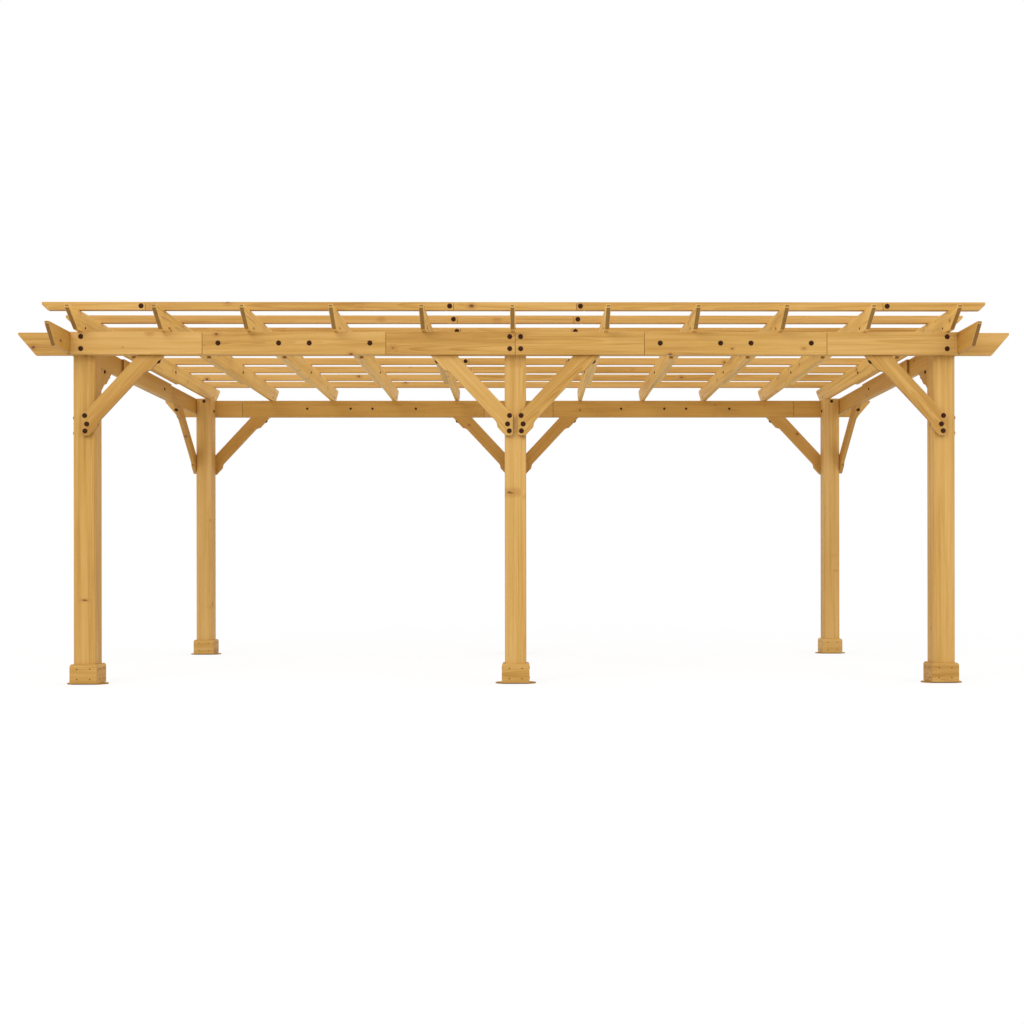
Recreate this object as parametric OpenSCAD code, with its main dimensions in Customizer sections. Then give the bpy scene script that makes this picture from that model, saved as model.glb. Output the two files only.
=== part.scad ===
// Timber pergola: six posts, doubled beams along the length, single beams across the ends,
// crossing tails, knee braces, eleven lapped rafters and nine purlins. Millimetres, +Z up.
// Origin on the ground at the centre of the plan; the length runs along X, the front faces -Y.

/* [Posts] */
// Width of each square post
post_w = 135; // [110:1:150]
// Distance between post centres along the length
bay = 2700; // [2200:10:3000]
// Distance between the front and back post centres
span = 2950; // [2400:10:3200]
// How far the back middle post stands to the left of the middle
back_shift = 24; // [0:1:30]
// Flat planed off each long edge of a post
post_chamfer = 7; // [2:1:12]

/* [Feet] */
// Thickness of the steel foot plates
plate_t = 7; // [4:1:12]
// Length of a foot plate over its round ends
plate_len = 256; // [240:2:320]
// Width of a foot plate
plate_w = 116; // [90:2:130]
// Diameter of an anchor hole
anchor_d = 14; // [10:1:18]
// Distance between the two anchor holes of a plate
anchor_gap = 210; // [196:2:216]

/* [Post skirts] */
// Thickness of a skirt board
skirt_t = 19; // [12:1:24]
// Height of a skirt board
skirt_h = 121; // [80:1:180]
// How far the sloping top edge of a skirt board cuts in
skirt_slope_w = 6; // [4:1:11]
// How far the sloping top edge of a skirt board drops
skirt_slope_h = 13; // [6:1:30]
// Open mitre between two skirt boards
skirt_mitre = 1; // [0.5:0.5:3]

/* [Beams] */
// Thickness of one beam board
board_t = 28; // [20:1:38]
// Height of the front and back beam boards
beam_h = 142; // [136:1:180]
// Height of the side beam boards
side_h = 132; // [110:1:134]
// Height of the underside of the beams above the ground
beam_base = 2058; // [1900:1:2300]
// Reach of the front beam tails past the corner post centres
tail_x = 400; // [300:1:480]
// Reach of the back beam tails past the corner post centres
back_tail_x = 370; // [300:1:480]
// Reach of the side beam tails past the corner post centres
tail_y = 467; // [300:1:500]
// Length that the sloping cut takes off the lower edge of a tail
tail_cut = 110; // [60:1:140]
// Height of the square nose above the sloping cut of a tail
tail_nose = 14; // [6:1:40]
// Open joint between boards that meet end to end
joint = 2; // [1:0.5:4]
// Length of the outer boards beside the middle post
outer_mid = 806; // [600:2:1000]
// Length of the outer boards that bridge each bay
outer_bridge = 1142; // [900:2:1300]
// Distance from the middle to where the inner short board ends
inner_short = 300; // [200:10:500]
// Distance from a corner post centre to the inner end of a tail board
tail_root = 300; // [250:10:500]
// Thickness of the splice board inside the middle of a side beam
splice_t = 20; // [12:1:28]
// Length of the splice board inside the middle of a side beam
splice_len = 1180; // [800:10:1300]

/* [Braces] */
// Height of the foot of each brace above the ground
brace_base = 1556; // [1400:1:1700]
// Width of the board that a brace is cut from
brace_w = 120; // [116:1:140]
// Slope of the front and back braces above level, in degrees
brace_slope = 47; // [42:1:50]
// Slope of the side braces above level, in degrees
side_slope = 39; // [37:1:45]
// Height of the upright cut at the foot of a brace
brace_heel = 128; // [100:1:136]
// Depth of the long hollow along the underside of a brace
brace_hollow = 18; // [6:1:30]
// Distance from a post centre to the heels of the front middle and side braces
brace_start = 16; // [5:1:24]
// Distance from a corner post centre to the heel of its back brace
back_start = 26; // [5:1:40]
// Distance from the back middle post centre to the heels of its braces
back_mid_start = 37; // [5:1:50]
// How far a front corner brace runs past its post centre
brace_past = 6; // [0:1:20]

/* [Rafters] */
// Number of rafters
rafters = 11; // [5:2:13]
// Thickness of one rafter board
rafter_t = 30; // [20:1:36]
// Height of a rafter
rafter_h = 125; // [90:1:140]
// Length of a rafter along its top edge
rafter_len = 3640; // [3500:10:3800]
// Length over which the two boards of a rafter run side by side
rafter_lap = 1200; // [800:10:1400]
// Length that the sloping cut takes off the lower edge of a rafter
rafter_cut = 150; // [40:1:170]
// Height of the upright nose above the sloping cut of a rafter
rafter_nose = 18; // [6:1:40]
// Distance of the outermost rafters inside the corner post centres
rafter_inset = 9; // [0:1:30]
// How far the rafters between the middle and the ends stand outwards of equal spacing
rafter_bow = 25; // [0:1:40]

/* [Purlins] */
// Number of purlins
purlins = 9; // [5:2:11]
// Thickness of a purlin
purlin_t = 42; // [30:1:50]
// Height of a purlin
purlin_h = 50; // [40:1:70]
// Length of a purlin over all its boards
purlin_len = 5844; // [5700:2:6000]
// Distance between the first and last purlin centres
purlin_spread = 3256; // [2800:4:3400]
// Height of the square nose above the sloping cut at a purlin end
purlin_nose = 16; // [8:1:30]
// Distance from the middle to the lap joints of every purlin
lap_at = 405; // [300:5:480]
// Distance from the middle to the outer lap joints of the first and last purlins
outer_lap_at = 2310; // [2000:10:2500]
// Length of a lap joint
lap_len = 50; // [40:2:120]

/* [Hidden] */
POST_COLS = ["left", "middle", "right"];
POST_ROWS = ["front", "back"];

$fn = 48;
half_x = bay;
half_y = span / 2;
half_post = post_w / 2;
beam_top = beam_base + beam_h;
post_h = beam_top - plate_t;
face_x = half_x + half_post;
face_y = half_y + half_post;
rafter_mid = (rafters + 1) / 2;
rafter_reach = bay - rafter_inset;
purlin_pitch = purlin_spread / (purlins - 1);
purlin_base = beam_top + rafter_h;
side_base = beam_top - side_h;
lap_gap = 0.5;
wood = "burlywood";
end_wood = "peru";

function along_x(r, c) =
    c == "left" ? -half_x : c == "right" ? half_x : r == "back" ? -back_shift : 0;
function along_y(r) = r == "front" ? -half_y : half_y;

// Post with planed corners, standing on its foot plate
module post(x, y) {
    c = post_chamfer;
    h = half_post;
    outline = [
        [h - c, -h], [h, c - h], [h, h - c], [h - c, h],
        [c - h, h], [-h, h - c], [-h, c - h], [c - h, -h]
    ];
    color(wood)
        translate([x, y, plate_t])
            linear_extrude(post_h)
                polygon(outline);
}

// Four mitred skirt boards around the bottom of a post, with a sloping top edge
module skirt(x, y) {
    reach = half_post + skirt_t;
    shy = skirt_mitre / sqrt(2);
    profile = [
        [-half_post, 0], [-reach, 0], [-reach, skirt_h - skirt_slope_h],
        [skirt_slope_w - reach, skirt_h], [-half_post, skirt_h]
    ];
    color(wood)
        translate([x, y, plate_t])
            for (turn = [0:90:270])
                rotate(turn)
                    intersection() {
                        translate([-reach, 0, 0])
                            rotate([90, 0, 90])
                                linear_extrude(2 * reach)
                                    polygon(profile);
                        linear_extrude(skirt_h)
                            polygon([[0, -shy], [shy - reach, -reach], [reach - shy, -reach]]);
                    }
}

// Oblong steel plate with an anchor hole in each round end
module foot_plate(x, y, turn) {
    r = plate_w / 2;
    color("saddlebrown")
        translate([x, y, 0])
            rotate(turn)
                difference() {
                    union() {
                        for (s = [-1, 1])
                            translate([s * (plate_len / 2 - r), 0, 0])
                                cylinder(r = r, h = plate_t);
                        translate([r - plate_len / 2, -r, 0])
                            cube([plate_len - 2 * r, plate_w, plate_t]);
                    }
                    for (s = [-1, 1])
                        translate([s * anchor_gap / 2, 0, -1])
                            cylinder(d = anchor_d, h = plate_t + 2);
                }
}

// The back middle plate is turned across the others
module foot_plates() {
    for (c = POST_COLS)
        for (r = POST_ROWS)
            foot_plate(along_x(r, c), along_y(r), r == "back" && c == "middle" ? 90 : 0);
}

// Board on edge from a to b along X, with its outer face at y = 0
module board(a, b, h = beam_h, t = board_t) {
    translate([a, 0, 0])
        cube([b - a, t, h]);
}

// Tail board of height h from its root out to a sloping cut tip, running towards +X
module tail_board(root, tip, h) {
    translate([0, board_t, 0])
        rotate([90, 0, 0])
            linear_extrude(board_t)
                polygon([[root, 0], [tip - tail_cut, 0], [tip, h - tail_nose], [tip, h], [root, h]]);
}

// Outer layer of a long beam: six boards end to end
module long_outer() {
    ends = [0, outer_mid, outer_mid + outer_bridge, face_x];
    for (s = [0, 1])
        mirror([s, 0, 0])
            for (i = [0:2])
                board(ends[i] + joint / 2, ends[i + 1] - (i < 2 ? joint / 2 : 0));
}

// Inner layer of a long beam: two tails, two long boards and a short one
module long_inner(reach) {
    root = half_x - tail_root;
    board(-inner_short + joint / 2, inner_short - joint / 2);
    for (s = [0, 1])
        mirror([s, 0, 0]) {
            board(inner_short + joint / 2, root - joint / 2);
            difference() {
                tail_board(root + joint / 2, half_x + reach, beam_h);
                translate([face_x, -1, beam_h / 2])
                    cube([board_t, board_t + 2, beam_h]);
            }
        }
}

// Side beam: two tail boards that meet in the middle, halved over the long beams
module side_beam() {
    notch = beam_base + beam_h / 2 - side_base;
    for (s = [0, 1])
        mirror([s, 0, 0])
            difference() {
                tail_board(joint / 2, half_y + tail_y, side_h);
                translate([face_y, -1, -1])
                    cube([board_t, board_t + 2, notch + 1]);
            }
}

// Splice board behind the middle joint of a side beam
module side_splice() {
    translate([0, board_t, 0])
        board(-splice_len / 2, splice_len / 2, side_h, splice_t);
}

// Puts what is drawn for the front, with its inner face at y = 0, on one of the four sides
module on_side(side, layer, z) {
    turn = side == "front" ? 0 : side == "back" ? 180 : side == "left" ? -90 : 90;
    reach = side == "front" || side == "back" ? face_y : face_x;
    color(layer == 0 ? end_wood : wood)
        rotate(turn)
            translate([0, -reach - (layer + 1) * board_t, z])
                children();
}

// One knee brace, drawn leaning towards +X from its heel at x = 0
module brace(rise, slope) {
    run = 1 / tan(slope);
    low = brace_w / sin(slope) - brace_heel * run;
    inset = brace_hollow / sin(slope);
    part_inset = inset * 0.7;
    toe = 10;
    foot_flat = 56;
    head_flat = rise - 93;
    function under(z, cut) = [low - cut + z * run, z];
    outline = [
        [0, toe], [toe, 0], [low, 0],
        under(foot_flat, 0), under(foot_flat + 22, part_inset), under(foot_flat + 38, inset),
        under(head_flat - 12, inset), under(head_flat - 5, part_inset), under(head_flat, 0),
        under(rise, 0), [(rise - brace_heel) * run, rise], [0, brace_heel]
    ];
    translate([0, board_t, 0])
        rotate([90, 0, 0])
            linear_extrude(board_t)
                polygon(outline);
}

// Two braces that lean apart from a post, or towards each other from posts at either end
module long_pair(at, start) {
    for (s = [0, 1])
        translate([at, 0, 0])
            mirror([s, 0, 0])
                translate([start, 0, 0])
                    brace(beam_base - brace_base, brace_slope);
}

// The four braces of a long side: on the corner posts, and on the post at middle
module long_braces(corner_start, middle, middle_start) {
    long_pair(0, corner_start - half_x);
    long_pair(middle, middle_start);
}

// The two braces of a side, leaning towards its middle
module side_braces() {
    for (s = [0, 1])
        mirror([s, 0, 0])
            translate([brace_start - half_y, 0, 0])
                brace(side_base - brace_base, side_slope);
}

// Rafter i: two boards side by side across the middle, the front one on the outer side
module rafter(i) {
    tip = rafter_len / 2;
    lap = rafter_lap / 2;
    out = abs(i - rafter_mid) / (rafter_mid - 1);
    side = i > rafter_mid ? 1 : -1;
    plane = side * (rafter_reach * out + rafter_bow * sin(180 * out));
    t = rafter_t - lap_gap / 2;
    for (s = [-1, 1])
        color(s < 0 ? wood : end_wood)
            translate([plane - s * side * (rafter_t + lap_gap / 2) / 2 - t / 2, 0, beam_top])
                rotate([90, 0, 90])
                    linear_extrude(t)
                        polygon([
                            [s * tip, rafter_h], [s * tip, rafter_h - rafter_nose],
                            [s * (tip - rafter_cut), 0], [-s * lap, 0], [-s * lap, rafter_h]
                        ]);
}

// Purlin i: three boards, or five in the first and last, half lapped with the outer one in front
module purlin(i) {
    y = (i - 1) * purlin_pitch - purlin_spread / 2;
    laps = i == 1 || i == purlins ? [lap_at, outer_lap_at] : [lap_at];
    tip = purlin_len / 2;
    slope = purlin_h - purlin_nose;
    last = laps[len(laps) - 1];
    clear = (lap_len + joint) / 2;
    grip = (lap_len - joint) / 2;
    tongue = (purlin_t - lap_gap) / 2;
    color(wood)
        translate([0, y - purlin_t / 2, purlin_base]) {
            board(clear - laps[0], laps[0] - clear, purlin_h, purlin_t);
            translate([0, purlin_t - tongue, 0])
                board(-laps[0] - grip, laps[0] + grip, purlin_h, tongue);
            for (s = [0, 1])
                mirror([s, 0, 0]) {
                    if (len(laps) > 1) {
                        board(laps[0] + clear, last - clear, purlin_h, purlin_t);
                        board(laps[0] - grip, last - clear, purlin_h, tongue);
                        translate([0, purlin_t - tongue, 0])
                            board(laps[0] + clear, last + grip, purlin_h, tongue);
                    }
                    difference() {
                        translate([0, purlin_t, 0])
                            rotate([90, 0, 0])
                                linear_extrude(purlin_t)
                                    polygon([
                                        [last - grip, 0], [tip - slope, 0], [tip, slope],
                                        [tip, purlin_h], [last - grip, purlin_h]
                                    ]);
                        translate([0, tongue, -1])
                            cube([last + clear, purlin_t, purlin_h + 2]);
                    }
                }
        }
}

for (r = POST_ROWS)
    for (c = POST_COLS) {
        post(along_x(r, c), along_y(r));
        skirt(along_x(r, c), along_y(r));
    }
foot_plates();
for (s = ["front", "back"]) {
    on_side(s, 1, beam_base) long_outer();
    on_side(s, 0, beam_base) long_inner(s == "front" ? tail_x : back_tail_x);
}
on_side("front", 0, brace_base) long_braces(-brace_past, 0, brace_start);  // front_braces
on_side("back", 0, brace_base) long_braces(back_start, back_shift, back_mid_start);  // back_braces
for (s = ["left", "right"]) {
    on_side(s, 0, side_base) side_beam();
    on_side(s, 0, side_base) side_splice();
    on_side(s, 0, brace_base) side_braces();
}
for (i = [1:rafters])
    rafter(i);
for (i = [1:purlins])
    purlin(i);
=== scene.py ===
import math
import random

import bmesh
import bpy
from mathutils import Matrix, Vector


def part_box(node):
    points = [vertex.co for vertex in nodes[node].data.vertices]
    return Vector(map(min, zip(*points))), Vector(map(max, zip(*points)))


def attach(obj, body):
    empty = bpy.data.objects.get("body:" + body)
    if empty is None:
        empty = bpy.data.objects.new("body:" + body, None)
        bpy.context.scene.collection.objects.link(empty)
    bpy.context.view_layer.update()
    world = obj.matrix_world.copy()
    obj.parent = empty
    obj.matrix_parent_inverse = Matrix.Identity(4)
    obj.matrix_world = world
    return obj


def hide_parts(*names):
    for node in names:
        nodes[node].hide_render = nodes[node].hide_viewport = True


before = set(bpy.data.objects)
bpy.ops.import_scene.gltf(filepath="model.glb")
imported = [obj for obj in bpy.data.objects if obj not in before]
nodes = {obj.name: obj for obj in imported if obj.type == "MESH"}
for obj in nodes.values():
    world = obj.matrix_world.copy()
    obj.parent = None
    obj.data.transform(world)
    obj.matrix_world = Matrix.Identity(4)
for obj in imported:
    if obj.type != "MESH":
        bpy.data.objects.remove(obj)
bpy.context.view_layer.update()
print("frame: %d nodes" % len(nodes))

rows = ("front", "back")
columns = ("left", "middle", "right")
sides = ("front", "back", "left", "right")
outward = {
    "front": Vector((0, -1, 0)),
    "back": Vector((0, 1, 0)),
    "left": Vector((-1, 0, 0)),
    "right": Vector((1, 0, 0)),
}
upward = Vector((0, 0, 1))
beamLayers = {  # the outer and the inner boards of the beam on each side
    "front": ("front_beam_outer", "front_beam_inner"),
    "back": ("back_beam_outer", "back_beam_inner"),
    "left": ("left_beam", "left_beam_splice"),
    "right": ("right_beam", "right_beam_splice"),
}


def addObject(name, data):
    made = bpy.data.objects.new(name, data)
    bpy.context.scene.collection.objects.link(made)
    return made


# camera

cameraSetup = {
    "place": (0.072, -9.50, 0.691),
    "sensor": 36,  # width in mm
    "lens": 44.56,  # mm
    "reach": 200,  # metres
    "yaw": 0.50,  # degrees towards +X
    "roll": 0.073,  # degrees
    "shift": (-0.0255, 0.0604),
}

camData = bpy.data.cameras.new("camera")
camData.sensor_width = cameraSetup["sensor"]
camData.lens = cameraSetup["lens"]
camData.shift_x, camData.shift_y = cameraSetup["shift"]
camData.clip_end = cameraSetup["reach"]
camera = addObject("camera", camData)
camera.location = cameraSetup["place"]
roll = math.radians(cameraSetup["roll"])
camera.rotation_euler = (math.radians(90), roll, math.radians(-cameraSetup["yaw"]))
bpy.context.scene.camera = camera


# shader sums


def paint(code):  # a "#rrggbb" colour as the linear values that a shader takes
    parts = [int(code[i:i + 2], 16) / 255 for i in (1, 3, 5)]
    return tuple(p / 12.92 if p <= 0.04045 else ((p + 0.055) / 1.055) ** 2.4 for p in parts) + (1.0,)


class Wire:  # one socket of a material's tree, with its sums written as plain maths
    def __init__(self, tree, socket=None):
        self.tree = tree
        self.socket = socket

    def make(self, kind, settings, inputs, output=0):
        node = self.tree.nodes.new(kind)
        for name, value in settings.items():
            if name == "stops":
                for i, (at, colour) in enumerate(value):
                    stop = node.color_ramp.elements[i] if i < 2 else node.color_ramp.elements.new(at)
                    stop.position = at
                    stop.color = colour
            else:
                setattr(node, name, value)
        for name, value in inputs.items():
            if isinstance(value, Wire):
                self.tree.links.new(value.socket, node.inputs[name])
            else:
                node.inputs[name].default_value = value
        return Wire(self.tree, node.outputs[output] if node.outputs else None)

    def sum(self, operation, a, b=0.0):
        return self.make("ShaderNodeMath", {"operation": operation}, {0: a, 1: b})

    def __add__(self, other):
        return self.sum("ADD", self, other)

    def __radd__(self, other):
        return self.sum("ADD", other, self)

    def __sub__(self, other):
        return self.sum("SUBTRACT", self, other)

    def __rsub__(self, other):
        return self.sum("SUBTRACT", other, self)

    def __mul__(self, other):
        return self.sum("MULTIPLY", self, other)

    def __rmul__(self, other):
        return self.sum("MULTIPLY", other, self)

    def __truediv__(self, other):
        return self.sum("DIVIDE", self, other)

    def rise(self, low, high):  # 0 below low, 1 above high, smooth between
        settings = {"interpolation_type": "SMOOTHSTEP"}
        limits = {"Value": self, "From Min": low, "From Max": high}
        return self.make("ShaderNodeMapRange", settings, limits)

    def stretch(self, x, y, z):
        return self.make("ShaderNodeVectorMath", {"operation": "MULTIPLY"}, {0: self, 1: (x, y, z)})

    def noise(self, detail=2.0, rough=0.5):  # about -0.5 to 0.5
        inputs = {"Vector": self, "Scale": 1.0, "Detail": detail, "Roughness": rough}
        return self.make("ShaderNodeTexNoise", {}, inputs) - 0.5

    def blend(self, a, b, way="MIX"):  # colour a to colour b as this goes from 0 to 1
        return self.make("ShaderNodeMix", {"data_type": "RGBA", "blend_type": way}, {0: self, 6: a, 7: b}, 2)


def newFinish(name):
    finish = bpy.data.materials.new(name)
    finish.use_nodes = True
    finish.node_tree.nodes.clear()
    return finish, Wire(finish.node_tree)


def surface(wire, inputs):
    shader = wire.make("ShaderNodeBsdfPrincipled", {}, inputs)
    wire.make("ShaderNodeOutputMaterial", {}, {"Surface": shader})


# timber

timberFinish = {
    "light": "#d8ad68",
    "body": "#c7994c",
    "dark": "#a8762a",
    "shade": "#a87824",  # painted shade on faces that look in or down
    "cut": "#8a5f2c",  # end grain
    "knot": "#5e3a12",
    "halo": "#a8702c",
    "ring": 0.0042,  # width of a growth ring, metres
    "knotCell": 0.42,  # average distance between knots along a board
    "knotAcross": 0.11,  # the same across a board
    "knotSize": 0.011,
    "toneShare": 0.16,  # how far boards differ from each other
    "haloShare": 0.55,
    "edgeHighlightShare": 0.3,
    "paintedShadeShare": 0.5,
    "cutShare": 0.85,
    "knotShare": 0.9,
    "relief": 0.0015,  # depth of the grain, metres
}

boardRules = {
    "weld": 1e-5,  # metres between corners that are one
    "flat": 0.5,  # degrees below which faces are joined
    "sharp": 20,  # degrees above which an edge is eased
    "flank": 0.2,  # how far along the grain a side face may look
    "endFrom": 0.35,  # how far along the grain a cut face has to look
    "endRise": 4,  # how fast end grain shows beyond that
}


def makeTimber(name, changes):
    look = dict(timberFinish, **changes)
    finish, wire = newFinish(name)
    # x runs along the board, y and z start at the pith
    grain = wire.make("ShaderNodeAttribute", {"attribute_name": "grain"}, {}, "Vector")
    tone = wire.make("ShaderNodeAttribute", {"attribute_name": "tone"}, {}, "Fac")
    cut = wire.make("ShaderNodeAttribute", {"attribute_name": "cut"}, {}, "Fac")
    eased = wire.make("ShaderNodeAttribute", {"attribute_name": "eased"}, {}, "Fac")
    paintedShade = wire.make("ShaderNodeAttribute", {"attribute_name": "paintedShade"}, {}, "Fac")

    # knots, long through the board's thickness
    cell = look["knotCell"]
    across = look["knotAcross"]
    cells = grain.stretch(1 / cell, 1 / across, 1 / across)
    voronoi = {"Vector": cells, "Scale": 1.0, "Randomness": 1.0}
    seed = wire.make("ShaderNodeTexVoronoi", {}, voronoi, "Position")
    chance = wire.make("ShaderNodeTexVoronoi", {}, voronoi, "Color")
    chance = wire.make("ShaderNodeSeparateColor", {}, {"Color": chance}, "Red")
    gap = wire.make("ShaderNodeVectorMath", {"operation": "SUBTRACT"}, {0: cells, 1: seed})
    gap = gap.stretch(cell * 0.7, across, across * 0.25)
    far = wire.make("ShaderNodeVectorMath", {"operation": "LENGTH"}, {0: gap}, "Value")
    far = far + 0.004 * grain.stretch(60, 60, 60).noise(1)
    size = chance.rise(0.35, 1.0) * look["knotSize"] + 0.0001
    away = far / size
    knot = 1 - away.rise(0.75, 1.05)
    halo = 1 - away.rise(0.8, 3.2)

    # growth rings around the pith, pushed aside by the knots
    part = wire.make("ShaderNodeSeparateXYZ", {}, {"Vector": grain}, "Y")
    deep = wire.make("ShaderNodeSeparateXYZ", {}, {"Vector": grain}, "Z")
    radius = wire.sum("SQRT", part * part + deep * deep)
    radius = radius + 0.016 * grain.stretch(0.9, 7, 7).noise(2) + 0.008 * halo * size * 100
    turn = wire.sum("FRACT", radius / look["ring"])
    late = turn.rise(0.35, 0.92) * (1 - turn.rise(0.93, 1.0))
    fibre = grain.stretch(9, 330, 330).noise(3, 0.6)
    streak = grain.stretch(1.1, 42, 42).noise(2.5, 0.55)
    patch = grain.stretch(0.7, 6, 6).noise(1.5)

    shade = 0.52 + 0.95 * streak + 0.42 * fibre + 0.7 * patch - 0.2 * late
    shade = shade + look["toneShare"] * tone
    stops = [(0.05, paint(look["dark"])), (0.95, paint(look["light"])), (0.5, paint(look["body"]))]
    wood = wire.make("ShaderNodeValToRGB", {"stops": stops}, {"Fac": shade}, "Color")
    wood = (halo * look["haloShare"]).blend(wood, paint(look["halo"]))
    # painted highlight: eased edges are blended towards the light colour
    wood = (eased * look["edgeHighlightShare"]).blend(wood, paint(look["light"]))
    # painted shade: faces that look inward or down are blended towards the shade colour
    wood = (paintedShade * look["paintedShadeShare"]).blend(wood, paint(look["shade"]))
    endWood = (late * 0.6 + fibre + 0.2).blend(paint(look["cut"]), paint(look["knot"]))
    wood = (cut * look["cutShare"]).blend(wood, endWood)
    wood = (knot * look["knotShare"]).blend(wood, paint(look["knot"]))

    height = fibre * 0.6 - late * 0.35 - knot * 0.6
    relief = {"Strength": 0.35, "Distance": look["relief"], "Height": height}
    bump = wire.make("ShaderNodeBump", {}, relief)
    rough = 0.58 + 0.25 * fibre + 0.12 * cut - 0.1 * knot
    surface(wire, {"Base Color": wood, "Roughness": rough, "Normal": bump, "Specular IOR Level": 0.35})
    return finish


def boardFrame(faces):  # directions along a board's grain and through its thickness, and its middle
    edges = {edge for face in faces for edge in face.edges}
    longest = max(edges, key=lambda edge: edge.calc_length())
    along = (longest.verts[1].co - longest.verts[0].co).normalized()
    if along.x + along.y + along.z < 0:
        along.negate()
    flanks = [face for face in faces if abs(face.normal.dot(along)) < boardRules["flank"]]
    broad = max(flanks, key=lambda face: face.calc_area())
    through = (broad.normal - broad.normal.dot(along) * along).normalized()
    corners = [vert.co for face in faces for vert in face.verts]
    middle = sum(corners, Vector()) / len(corners)
    return along, through, middle


def looseBoards(work):  # the faces of each separate board, in a fixed order
    left = set(work.faces)
    boards = []
    for first in work.faces:
        if first not in left:
            continue
        left.discard(first)
        board = [first]
        for face in board:
            for edge in face.edges:
                for other in edge.link_faces:
                    if other in left:
                        left.discard(other)
                        board.append(other)
        boards.append(board)
    return boards


def makeBoards(node, finish, build, paintedShade=None):
    # the node's boards again, with eased edges, each board's own grain, and painted shade on faces that look
    # along the given way or down
    work = bmesh.new()
    work.from_mesh(nodes[node].data)
    bmesh.ops.remove_doubles(work, verts=work.verts, dist=boardRules["weld"])
    flat = math.radians(boardRules["flat"])
    bmesh.ops.dissolve_limit(work, angle_limit=flat, verts=work.verts, edges=work.edges)
    grain = work.verts.layers.float_vector.new("grain")
    tone = work.verts.layers.float.new("tone")
    cut = work.faces.layers.float.new("cut")
    eased = work.faces.layers.float.new("eased")
    paintedShadeLayer = work.faces.layers.float.new("paintedShade")
    whole = [edge for edge in work.edges if len(edge.link_faces) == 2]
    least = math.radians(boardRules["sharp"])
    sharp = [edge for edge in whole if edge.calc_face_angle(0) > least]
    made = bmesh.ops.bevel(
        work, geom=sharp, offset=build["ease"], segments=2, profile=0.5, affect="EDGES", clamp_overlap=True
    )
    for face in made["faces"]:
        face[eased] = 1.0
        face.smooth = True
    draw = random.Random(node)
    for board in looseBoards(work):
        along, through, middle = boardFrame(board)
        width = along.cross(through)
        start = draw.uniform(0, 80)
        pith = Vector((draw.uniform(-0.6, 0.6) * build["width"], draw.uniform(0.5, 2.2) * build["pith"]))
        lean = Vector((draw.uniform(-1, 1), draw.uniform(-1, 1))) * build["lean"]
        level = draw.uniform(-1, 1) + build["tone"]
        for vert in {vert for face in board for vert in face.verts}:
            place = vert.co - middle
            far = place.dot(along)
            side = place.dot(width) - pith.x + far * lean.x
            vert[grain] = (start + far, side, place.dot(through) - pith.y + far * lean.y)
            vert[tone] = level
        for face in board:
            if face[eased] == 0:
                end = abs(face.normal.dot(along)) - boardRules["endFrom"]
                face[cut] = min(1.0, max(0.0, end * boardRules["endRise"]))
                # painted shade: faces that look along the given way, and faces that look down by
                # build["under"]
                inner = face.normal.dot(paintedShade) if paintedShade else 0.0
                face[paintedShadeLayer] = max(0.0, inner, build["under"] * -face.normal.z)
    mesh = bpy.data.meshes.new(node + "_boards")
    work.to_mesh(mesh)
    work.free()
    mesh.materials.append(finish)
    piece = addObject(node + "_boards", mesh)
    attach(piece, "root")
    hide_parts(node)


# in each build, "under" is how much painted shade falls on faces that look down
postBuild = {"ease": 0.002, "width": 0.135, "pith": 0.06, "lean": 0.006, "tone": 0.0, "under": 0.0}
postFinish = makeTimber("postTimber", {"ring": 0.006})
# painted light: the back row of posts is a little lighter, making up for getting less light from the lamps
postRowLight = {"front": 0.2, "back": 0.3}
for row in rows:
    for column in columns:
        build = dict(postBuild, tone=postRowLight[row])
        makeBoards("post_%s_%s" % (row, column), postFinish, build)
print("posts done")

skirtBuild = {"ease": 0.0015, "width": 0.12, "pith": 0.05, "lean": 0.03, "tone": -0.1, "under": 0.0}
skirtFinish = makeTimber("skirtTimber", {})
for row in rows:
    for column in columns:
        makeBoards("skirt_%s_%s" % (row, column), skirtFinish, skirtBuild)
print("skirts done")

beamBuild = {"ease": 0.003, "width": 0.142, "pith": 0.05, "lean": 0.02, "tone": 0.0, "under": 0.8}
# the beams get painted shade on their inner faces, in their own shade colour
beamFinish = makeTimber("beamTimber", {"shade": "#c89640"})
for side in sides:
    for name in beamLayers[side]:
        makeBoards(name, beamFinish, beamBuild, -outward[side])
print("beams done")

braceBuild = {"ease": 0.003, "width": 0.12, "pith": 0.05, "lean": 0.03, "tone": -0.4, "under": 0.6}
# the braces get painted shade on their inner faces, in their own shade colour
braceFinish = makeTimber("braceTimber", {"shade": "#b8822f"})
for side in sides:
    makeBoards(side + "_braces", braceFinish, braceBuild, -outward[side])
print("braces done")

rafterBuild = {"ease": 0.003, "width": 0.125, "pith": 0.05, "lean": 0.02, "tone": 0.4, "under": 0.1}
# painted light: the rafters are a lighter copy of the timber, for sides that face the middle and get less
# light
rafterFinish = makeTimber("rafterTimber", {"body": "#e2b35a", "light": "#ecc274"})
rafterNames = [name for name in nodes if name.startswith("rafter_")]
rafterNames.sort(key=lambda name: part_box(name)[0].x)
for name in rafterNames:
    makeBoards(name, rafterFinish, rafterBuild)
print("rafters done")

purlinBuild = {"ease": 0.0025, "width": 0.05, "pith": 0.05, "lean": 0.01, "tone": 0.2, "under": 0.8}
purlinFinish = makeTimber("purlinTimber", {})
purlinNames = [name for name in nodes if name.startswith("purlin_")]
purlinNames.sort(key=lambda name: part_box(name)[0].y)
for name in purlinNames:
    makeBoards(name, purlinFinish, purlinBuild)
print("purlins done")

# foot plates

plateLook = {"paint": "#a87c30", "worn": "#86622a", "rough": 0.6}


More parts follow.
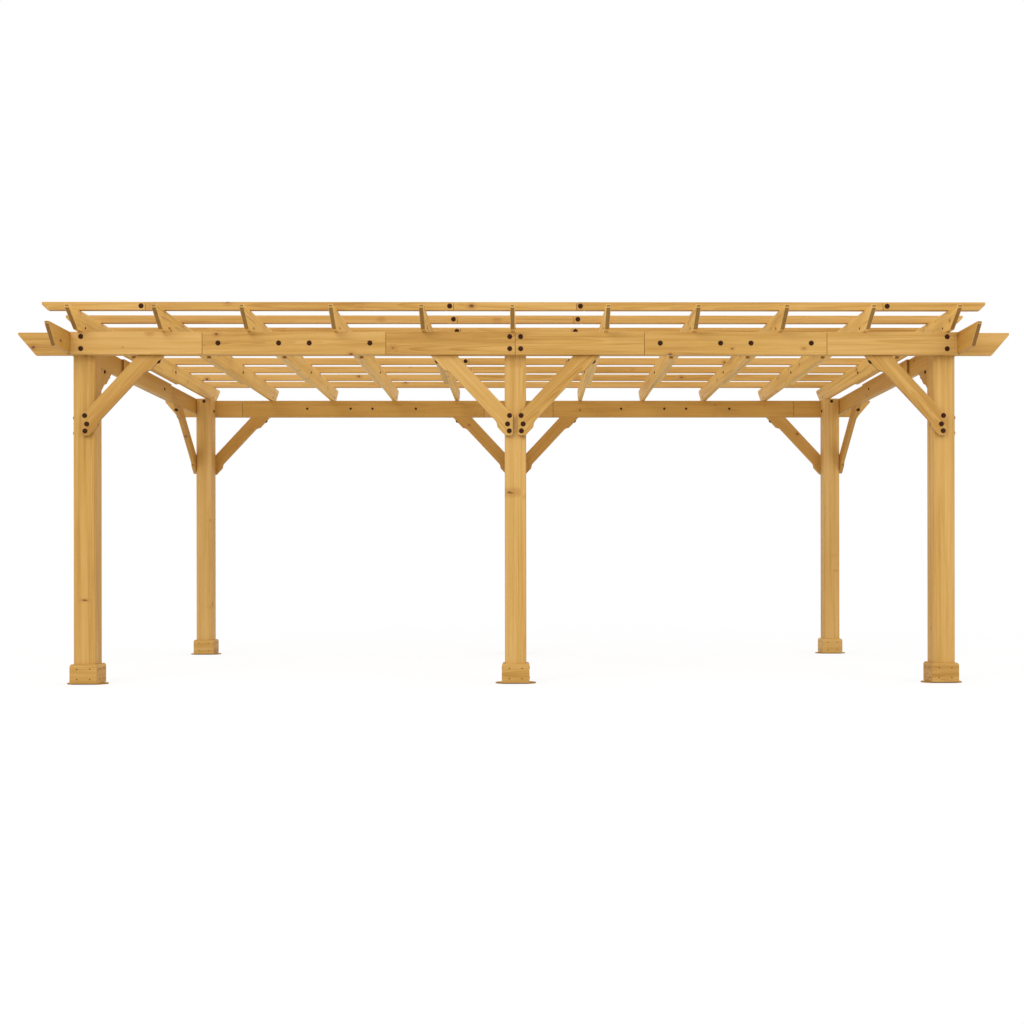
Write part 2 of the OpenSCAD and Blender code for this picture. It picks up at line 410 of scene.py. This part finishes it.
def makePlateFinish():
    finish, wire = newFinish("plateSteel")
    place = wire.make("ShaderNodeTexCoord", {}, {}, "Object")
    cloud = place.stretch(18, 18, 18).noise(4, 0.6)
    speck = place.stretch(240, 240, 240).noise(2)
    worn = (cloud * 2 + speck).rise(0.1, 0.6)
    colour = worn.blend(paint(plateLook["paint"]), paint(plateLook["worn"]))
    bump = wire.make("ShaderNodeBump", {}, {"Strength": 0.3, "Distance": 0.001, "Height": speck})
    rough = plateLook["rough"] + 0.3 * cloud
    surface(wire, {"Base Color": colour, "Roughness": rough, "Specular IOR Level": 0.2, "Normal": bump})
    return finish


plates = nodes["foot_plates"]
plates.data.materials.clear()
plates.data.materials.append(makePlateFinish())
print("foot plates done")

# bolts and screws


def steelFinish(name, colour, worn):
    finish, wire = newFinish(name)
    place = wire.make("ShaderNodeTexCoord", {}, {}, "Object")
    cloud = place.stretch(90, 90, 90).noise(3, 0.6)
    shade = cloud.rise(-0.1, 0.35).blend(paint(colour), paint(worn))
    surface(wire, {"Base Color": shade, "Roughness": 0.6 + 0.3 * cloud, "Specular IOR Level": 0.12})
    return finish


def headTree(name, steps):
    # a turned head on every point: each step lifts the top face by a share of Height, then scales it
    tree = bpy.data.node_groups.new(name, "GeometryNodeTree")
    face = tree.interface
    face.new_socket("Geometry", in_out="INPUT", socket_type="NodeSocketGeometry")
    kinds = {"Radius": "Float", "Height": "Float", "Sides": "Int", "Seed": "Int", "Finish": "Material"}
    for label, kind in kinds.items():
        face.new_socket(label, in_out="INPUT", socket_type="NodeSocket" + kind)
    face.new_socket("Geometry", in_out="OUTPUT", socket_type="NodeSocketGeometry")

    def add(kind, settings, inputs):
        node = tree.nodes.new(kind)
        for key, value in settings.items():
            setattr(node, key, value)
        for key, value in inputs.items():
            if isinstance(value, bpy.types.NodeSocket):
                tree.links.new(value, node.inputs[key])
            else:
                node.inputs[key].default_value = value
        return node.outputs

    given = add("NodeGroupInput", {}, {})
    circle = {"Vertices": given["Sides"], "Radius": given["Radius"]}
    disc = add("GeometryNodeMeshCircle", {"fill_type": "NGON"}, circle)["Mesh"]
    body = disc
    top = None
    for lift, size in steps:
        rise = add("ShaderNodeMath", {"operation": "MULTIPLY"}, {0: given["Height"], 1: lift})[0]
        lifted = {"Mesh": body, "Offset Scale": rise, "Individual": False}
        extrude = add("GeometryNodeExtrudeMesh", {"mode": "FACES"}, lifted)
        if top:
            tree.links.new(top, extrude["Mesh"].node.inputs["Selection"])
        sized = {"Geometry": extrude["Mesh"], "Selection": extrude["Top"], "Scale": size}
        scaled = add("GeometryNodeScaleElements", {"domain": "FACE"}, sized)
        body = scaled["Geometry"]
        top = extrude["Top"]
    back = add("GeometryNodeFlipFaces", {}, {"Mesh": disc})["Mesh"]
    join = tree.nodes.new("GeometryNodeJoinGeometry")
    tree.links.new(body, join.inputs[0])
    tree.links.new(back, join.inputs[0])
    joined = {"Geometry": join.outputs[0], "Distance": 1e-6}
    whole = add("GeometryNodeMergeByDistance", {}, joined)["Geometry"]
    stored = {"data_type": "FLOAT_VECTOR"}
    facing = add("GeometryNodeInputNamedAttribute", stored, {"Name": "facing"})["Attribute"]
    aim = add("FunctionNodeAlignRotationToVector", {"axis": "Z"}, {"Vector": facing})["Rotation"]
    draw = {"Seed": given["Seed"], 3: math.tau}
    angle = add("FunctionNodeRandomValue", {"data_type": "FLOAT"}, draw)[1]
    spin = add("FunctionNodeAxisAngleToRotation", {}, {"Axis": (0, 0, 1), "Angle": angle})["Rotation"]
    both = {"Rotation": aim, "Rotate By": spin}
    turned = add("FunctionNodeRotateRotation", {"rotation_space": "LOCAL"}, both)["Rotation"]
    seats = {"Points": given["Geometry"], "Instance": whole, "Rotation": turned}
    placed = add("GeometryNodeInstanceOnPoints", {}, seats)["Instances"]
    plain = add("GeometryNodeRealizeInstances", {}, {"Geometry": placed})["Geometry"]
    done = add("GeometryNodeSetMaterial", {}, {"Geometry": plain, "Material": given["Finish"]})["Geometry"]
    add("NodeGroupOutput", {}, {"Geometry": done})
    return tree


# spots are pairs of a place and the way that the head faces
def setHeads(name, tree, finish, build, spots):
    points = bpy.data.meshes.new(name)
    points.from_pydata([place for place, way in spots], [], [])
    facing = points.attributes.new("facing", "FLOAT_VECTOR", "POINT")
    facing.data.foreach_set("vector", [value for place, way in spots for value in way])
    seats = addObject(name + "_seats", points)
    modifier = seats.modifiers.new("heads", "NODES")
    modifier.node_group = tree
    values = {"Radius": build["across"] / 2, "Height": build["height"], "Sides": build["sides"]}
    values.update({"Seed": headSeed, "Finish": finish})
    for socket in tree.interface.items_tree:
        if socket.in_out == "INPUT" and socket.name in values:
            modifier[socket.identifier] = values[socket.name]
    view = bpy.context.evaluated_depsgraph_get()
    mesh = bpy.data.meshes.new_from_object(seats.evaluated_get(view))
    bpy.data.objects.remove(seats)
    piece = addObject(name, mesh)
    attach(piece, "root")
    print(name, len(spots), "of them")


boltBuild = {"across": 0.031, "height": 0.008, "sides": 24}
boltSteps = [
    (0.25, 1.0), (0.12, 0.9), (0.0, 0.75), (0.3, 0.96),
    (0.2, 0.85), (0.08, 0.7), (0.0, 0.7), (-0.3, 1.0),
]
nutBuild = {"across": 0.026, "height": 0.008, "sides": 24}  # at the tops of the posts
endBuild = {"across": 0.020, "height": 0.006, "sides": 24}  # everywhere else
nutSteps = [(0.25, 1.0), (0.1, 0.9), (0.0, 0.7), (0.5, 0.96), (0.15, 0.8)]
screwBuild = {"across": 0.0075, "height": 0.0022, "sides": 12}
screwSteps = [(0.4, 1.0), (0.6, 0.7), (0.0, 0.6), (-0.6, 0.9)]
toeBuild = {"across": 0.016, "height": 0.002, "sides": 12}
headSeed = 3

boltPlan = {
    "beamRows": (0.030, 0.105),  # below the top of the beams, at the posts
    "middleGap": 0.034,  # from the middle joint of a long beam
    "bridgeDrop": 0.070,  # below the top of the beams, along the outer boards
    "bridgeOut": (0.095, 0.472),  # from the middle of each bridging board
    "bridgeIn": {"front": 0.0, "back": 0.011},  # closer to the middle of the beam by this
    "spliceDrop": 0.067,  # below the top of the beams, through a side splice
    "spliceOut": 0.390,  # from the middle, through a side splice or a rafter lap
    "braceFoot": ((0.020, 0.126), (0.033, 0.073), (0.022, 0.030)),  # from the heel, above its base
    "braceHead": 0.038,  # below the top of a brace, on its underside
    "braceNut": (0.951, 0.0155),  # from the middle, below the beam, inside the front side braces
    "purlinLap": 0.405,
    "purlinEnd": 2.31,
    "postNuts": {"front": 0.024, "side": 0.101},
}

postMid = {}
for row in rows:
    for column in columns:
        low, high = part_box("post_%s_%s" % (row, column))
        postMid[row, column] = (low + high) / 2
halfPost = (high.x - low.x) / 2
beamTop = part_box("front_beam_outer")[1].z


def boardCorners(node):  # the corners of each separate board of a node
    work = bmesh.new()
    work.from_mesh(nodes[node].data)
    bmesh.ops.remove_doubles(work, verts=work.verts, dist=boardRules["weld"])
    boards = [[vert.co.copy() for face in board for vert in face.verts] for board in looseBoards(work)]
    work.free()
    return boards


def sideFrame(side):  # the way out, the way along, and how far out the beam's two faces are
    out = outward[side]
    outer, inner = beamLayers[side]
    far = max(corner.dot(out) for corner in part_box(outer))
    near = min(abs(corner.dot(out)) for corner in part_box(inner))
    return out, upward.cross(out), far, near


def spotOn(out, far, along, a, z):
    return out * far + along * a + upward * z


outerMiddles = []
for corners in boardCorners("front_beam_outer"):
    spread = [corner.x for corner in corners]
    outerMiddles.append((min(spread) + max(spread)) / 2)
# the boards nearest the middle come first, then the two that bridge the joints of the inner layer
bridgeMid = sorted(abs(x) for x in outerMiddles)[2]
levelGap = 0.001  # metres between corners that are level

bolts = []
nuts = []
ends = []
for side in sides:
    out, along, far, near = sideFrame(side)
    reach = abs(postMid["front", "left"].dot(along))
    for end in (-1, 1):
        places = [(end * reach, drop) for drop in boltPlan["beamRows"]]
        through = []
        if side in rows:
            places += [(end * boltPlan["middleGap"], drop) for drop in boltPlan["beamRows"]]
            centre = bridgeMid - boltPlan["bridgeIn"][side]
            for gap in boltPlan["bridgeOut"]:
                through.append((end * (centre + gap), boltPlan["bridgeDrop"]))
                through.append((end * (centre - gap), boltPlan["bridgeDrop"]))
        else:
            through.append((end * boltPlan["spliceOut"], boltPlan["spliceDrop"]))
        for a, drop in places + through:
            bolts.append((spotOn(out, far, along, a, beamTop - drop), out))
        for a, drop in through:
            ends.append((spotOn(out, near, along, a, beamTop - drop), -out))
    for corners in boardCorners(side + "_braces"):
        foot = min(corners, key=lambda corner: corner.z)
        top = max(corner.z for corner in corners)
        head = [corner for corner in corners if corner.z > top - levelGap]
        way = 1 if head[0].dot(along) > foot.dot(along) else -1
        heel = min(corner.dot(along) * way for corner in corners)
        upright = [corner for corner in corners if corner.dot(along) * way < heel + levelGap]
        heelTop = max(corner.z for corner in upright)
        tip = max(corner.dot(along) * way for corner in head)
        root = min(corner.dot(along) * way for corner in head)
        faces = [corner.dot(out) for corner in corners]
        for gap, rise in boltPlan["braceFoot"]:
            bolts.append((spotOn(out, max(faces), along, way * (heel + gap), foot.z + rise), out))
        # the underside runs the same way as the upper edge
        lean = Vector((root - heel, top - heelTop)).normalized()
        a = tip - boltPlan["braceHead"] * lean.x / lean.y
        centre = (max(faces) + min(faces)) / 2
        spot = spotOn(out, centre, along, way * a, top - boltPlan["braceHead"])
        bolts.append((spot, along * way * lean.y - upward * lean.x))
for side in ("left", "right"):
    out = outward[side]
    a, drop = boltPlan["braceNut"]
    inside = min(abs(corner.dot(out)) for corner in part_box(side + "_braces"))
    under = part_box(side + "_braces")[1].z - drop
    nuts.append((out * inside + Vector((0, -a, under)), -out))
for (row, column), middle in postMid.items():
    inward = -outward[row]
    gaps = (-boltPlan["middleGap"], boltPlan["middleGap"]) if column == "middle" else (0,)
    for gap in gaps:
        spot = middle + inward * halfPost
        drop = boltPlan["postNuts"]["front"]
        nuts.append((Vector((spot.x + gap, spot.y, beamTop - drop)), inward))
    if column != "middle":
        inward = -outward[column]
        spot = middle + inward * halfPost
        nuts.append((Vector((spot.x, spot.y, beamTop - boltPlan["postNuts"]["side"])), inward))
for name in purlinNames:
    low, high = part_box(name)
    level = (low.z + high.z) / 2
    places = [boltPlan["purlinLap"]]
    if name in (purlinNames[0], purlinNames[-1]):
        places.append(boltPlan["purlinEnd"])
    for x in places:
        for end in (-1, 1):
            bolts.append((Vector((end * x, low.y, level)), outward["front"]))
            ends.append((Vector((end * x, high.y, level)), outward["back"]))

screwPlan = {
    "skirtOut": 0.040,
    "skirtRise": (0.035, 0.099),
    "toeRise": 0.033,
    "toeAt": {"front": 1.540, "back": 1.570},
    "middle": 0.01,  # how far right a rafter is still in the left half
}

screws = []
toes = []
for row in rows:
    for column in columns:
        low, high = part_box("skirt_%s_%s" % (row, column))
        middle = (low + high) / 2
        half = (high.x - low.x) / 2
        for side in sides:
            out, along = outward[side], upward.cross(outward[side])
            for end in (-1, 1):
                for rise in screwPlan["skirtRise"]:
                    spot = Vector((middle.x, middle.y, rise)) + out * half
                    screws.append((spot + along * end * screwPlan["skirtOut"], out))
for name in rafterNames:
    low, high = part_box(name)
    lapPlane = (low.x + high.x) / 2
    # the middle rafter counts with the left half
    inner = 1 if lapPlane < screwPlan["middle"] else -1
    inside, outside = (high.x, low.x) if inner > 0 else (low.x, high.x)
    level = (low.z + high.z) / 2
    for end in (-1, 1):
        y = end * boltPlan["spliceOut"]
        bolts.append((Vector((outside, y, level)), Vector((-inner, 0, 0))))
        ends.append((Vector((inside, y, level)), Vector((inner, 0, 0))))
    # the front board's inner face is the lap plane, the back board's is the inside
    for row, x in (("front", lapPlane), ("back", inside)):
        y = outward[row].y * screwPlan["toeAt"][row]
        toes.append((Vector((x, y, beamTop + screwPlan["toeRise"])), Vector((inner, 0, 0))))

steelPaint = {
    "bolt": ("#34180a", "#5a3218"),
    "screw": ("#4a2a0e", "#6b4418"),
    "toe": ("#2a1406", "#4a2c10"),
}
boltFinish = steelFinish("boltSteel", *steelPaint["bolt"])
screwFinish = steelFinish("screwSteel", *steelPaint["screw"])
toeFinish = steelFinish("toeSteel", *steelPaint["toe"])
boltTree = headTree("boltHead", boltSteps)
nutTree = headTree("boltEnd", nutSteps)
screwTree = headTree("screwHead", screwSteps)
setHeads("bolt_heads", boltTree, boltFinish, boltBuild, bolts)
setHeads("post_nuts", nutTree, boltFinish, nutBuild, nuts)
setHeads("bolt_ends", nutTree, boltFinish, endBuild, ends)
setHeads("screw_heads", screwTree, screwFinish, screwBuild, screws)
setHeads("toe_screws", screwTree, toeFinish, toeBuild, toes)

# floor, backdrop and light

studio = {
    "sky": 0.88,
    "floorTone": 0.65,  # how much light the floor sends back up
    "floorSeen": 0.95,
    "floorWhite": 0.8,  # share of the floor's colour that keeps no shadow
    "floorFade": (4.0, 9.0),  # distance over which the shadow share ends
    "floorReach": 60,
    "lampsAim": (0, 0, 1.4),
}

world = bpy.data.worlds.new("studio")
bpy.context.scene.world = world
world.use_nodes = True
world.node_tree.nodes.clear()
wire = Wire(world.node_tree)


def seenRays(wire):
    path = wire.make("ShaderNodeLightPath", {}, {}, "Is Camera Ray")
    glossy = wire.make("ShaderNodeLightPath", {}, {}, "Is Glossy Ray")
    clear = wire.make("ShaderNodeLightPath", {}, {}, "Is Transmission Ray")
    return wire.sum("MINIMUM", path + glossy + clear, 1.0)


seen = seenRays(wire)
strength = studio["sky"] + seen * (1 - studio["sky"])
sky = wire.make("ShaderNodeBackground", {}, {"Color": (1, 1, 1, 1), "Strength": strength})
wire.make("ShaderNodeOutputWorld", {}, {"Surface": sky})

floorFinish, wire = newFinish("floorWhite")
seen = seenRays(wire)
tone = studio["floorTone"] + seen * (studio["floorSeen"] - studio["floorTone"])
matt = wire.make("ShaderNodeBsdfDiffuse", {}, {"Color": tone})
place = wire.make("ShaderNodeTexCoord", {}, {}, "Object")
away = wire.make("ShaderNodeVectorMath", {"operation": "LENGTH"}, {0: place}, "Value")
distant = away.rise(*studio["floorFade"])
share = studio["floorWhite"] + distant * (1 - studio["floorWhite"])
glow = wire.make("ShaderNodeEmission", {}, {"Color": (1, 1, 1, 1), "Strength": 1.0})
both = wire.make("ShaderNodeMixShader", {}, {0: seen * share, 1: matt, 2: glow})
wire.make("ShaderNodeOutputMaterial", {}, {"Surface": both})
floorMesh = bpy.data.meshes.new("floor")
reach = studio["floorReach"]
corners = [(-reach, -reach, 0), (reach, -reach, 0), (reach, reach, 0), (-reach, reach, 0)]
floorMesh.from_pydata(corners, [], [(0, 1, 2, 3)])
floorMesh.materials.append(floorFinish)
floor = addObject("floor", floorMesh)

lamps = {
    "key": {"place": (-4.5, -9.0, 6.5), "size": 5.0, "power": 300},
    "fill": {"place": (6.5, -7.5, 4.0), "size": 6.0, "power": 150},
    "top": {"place": (0.5, 1.0, 9.0), "size": 8.0, "power": 160},
}
for name, lamp in lamps.items():
    data = bpy.data.lights.new(name, "AREA")
    data.shape = "DISK"
    data.size = lamp["size"]
    data.energy = lamp["power"]
    light = addObject(name, data)
    light.location = lamp["place"]
    aim = Vector(studio["lampsAim"]) - Vector(lamp["place"])
    light.rotation_euler = aim.to_track_quat("-Z", "Y").to_euler()

bpy.context.scene.view_settings.view_transform = "Standard"
print("studio done")
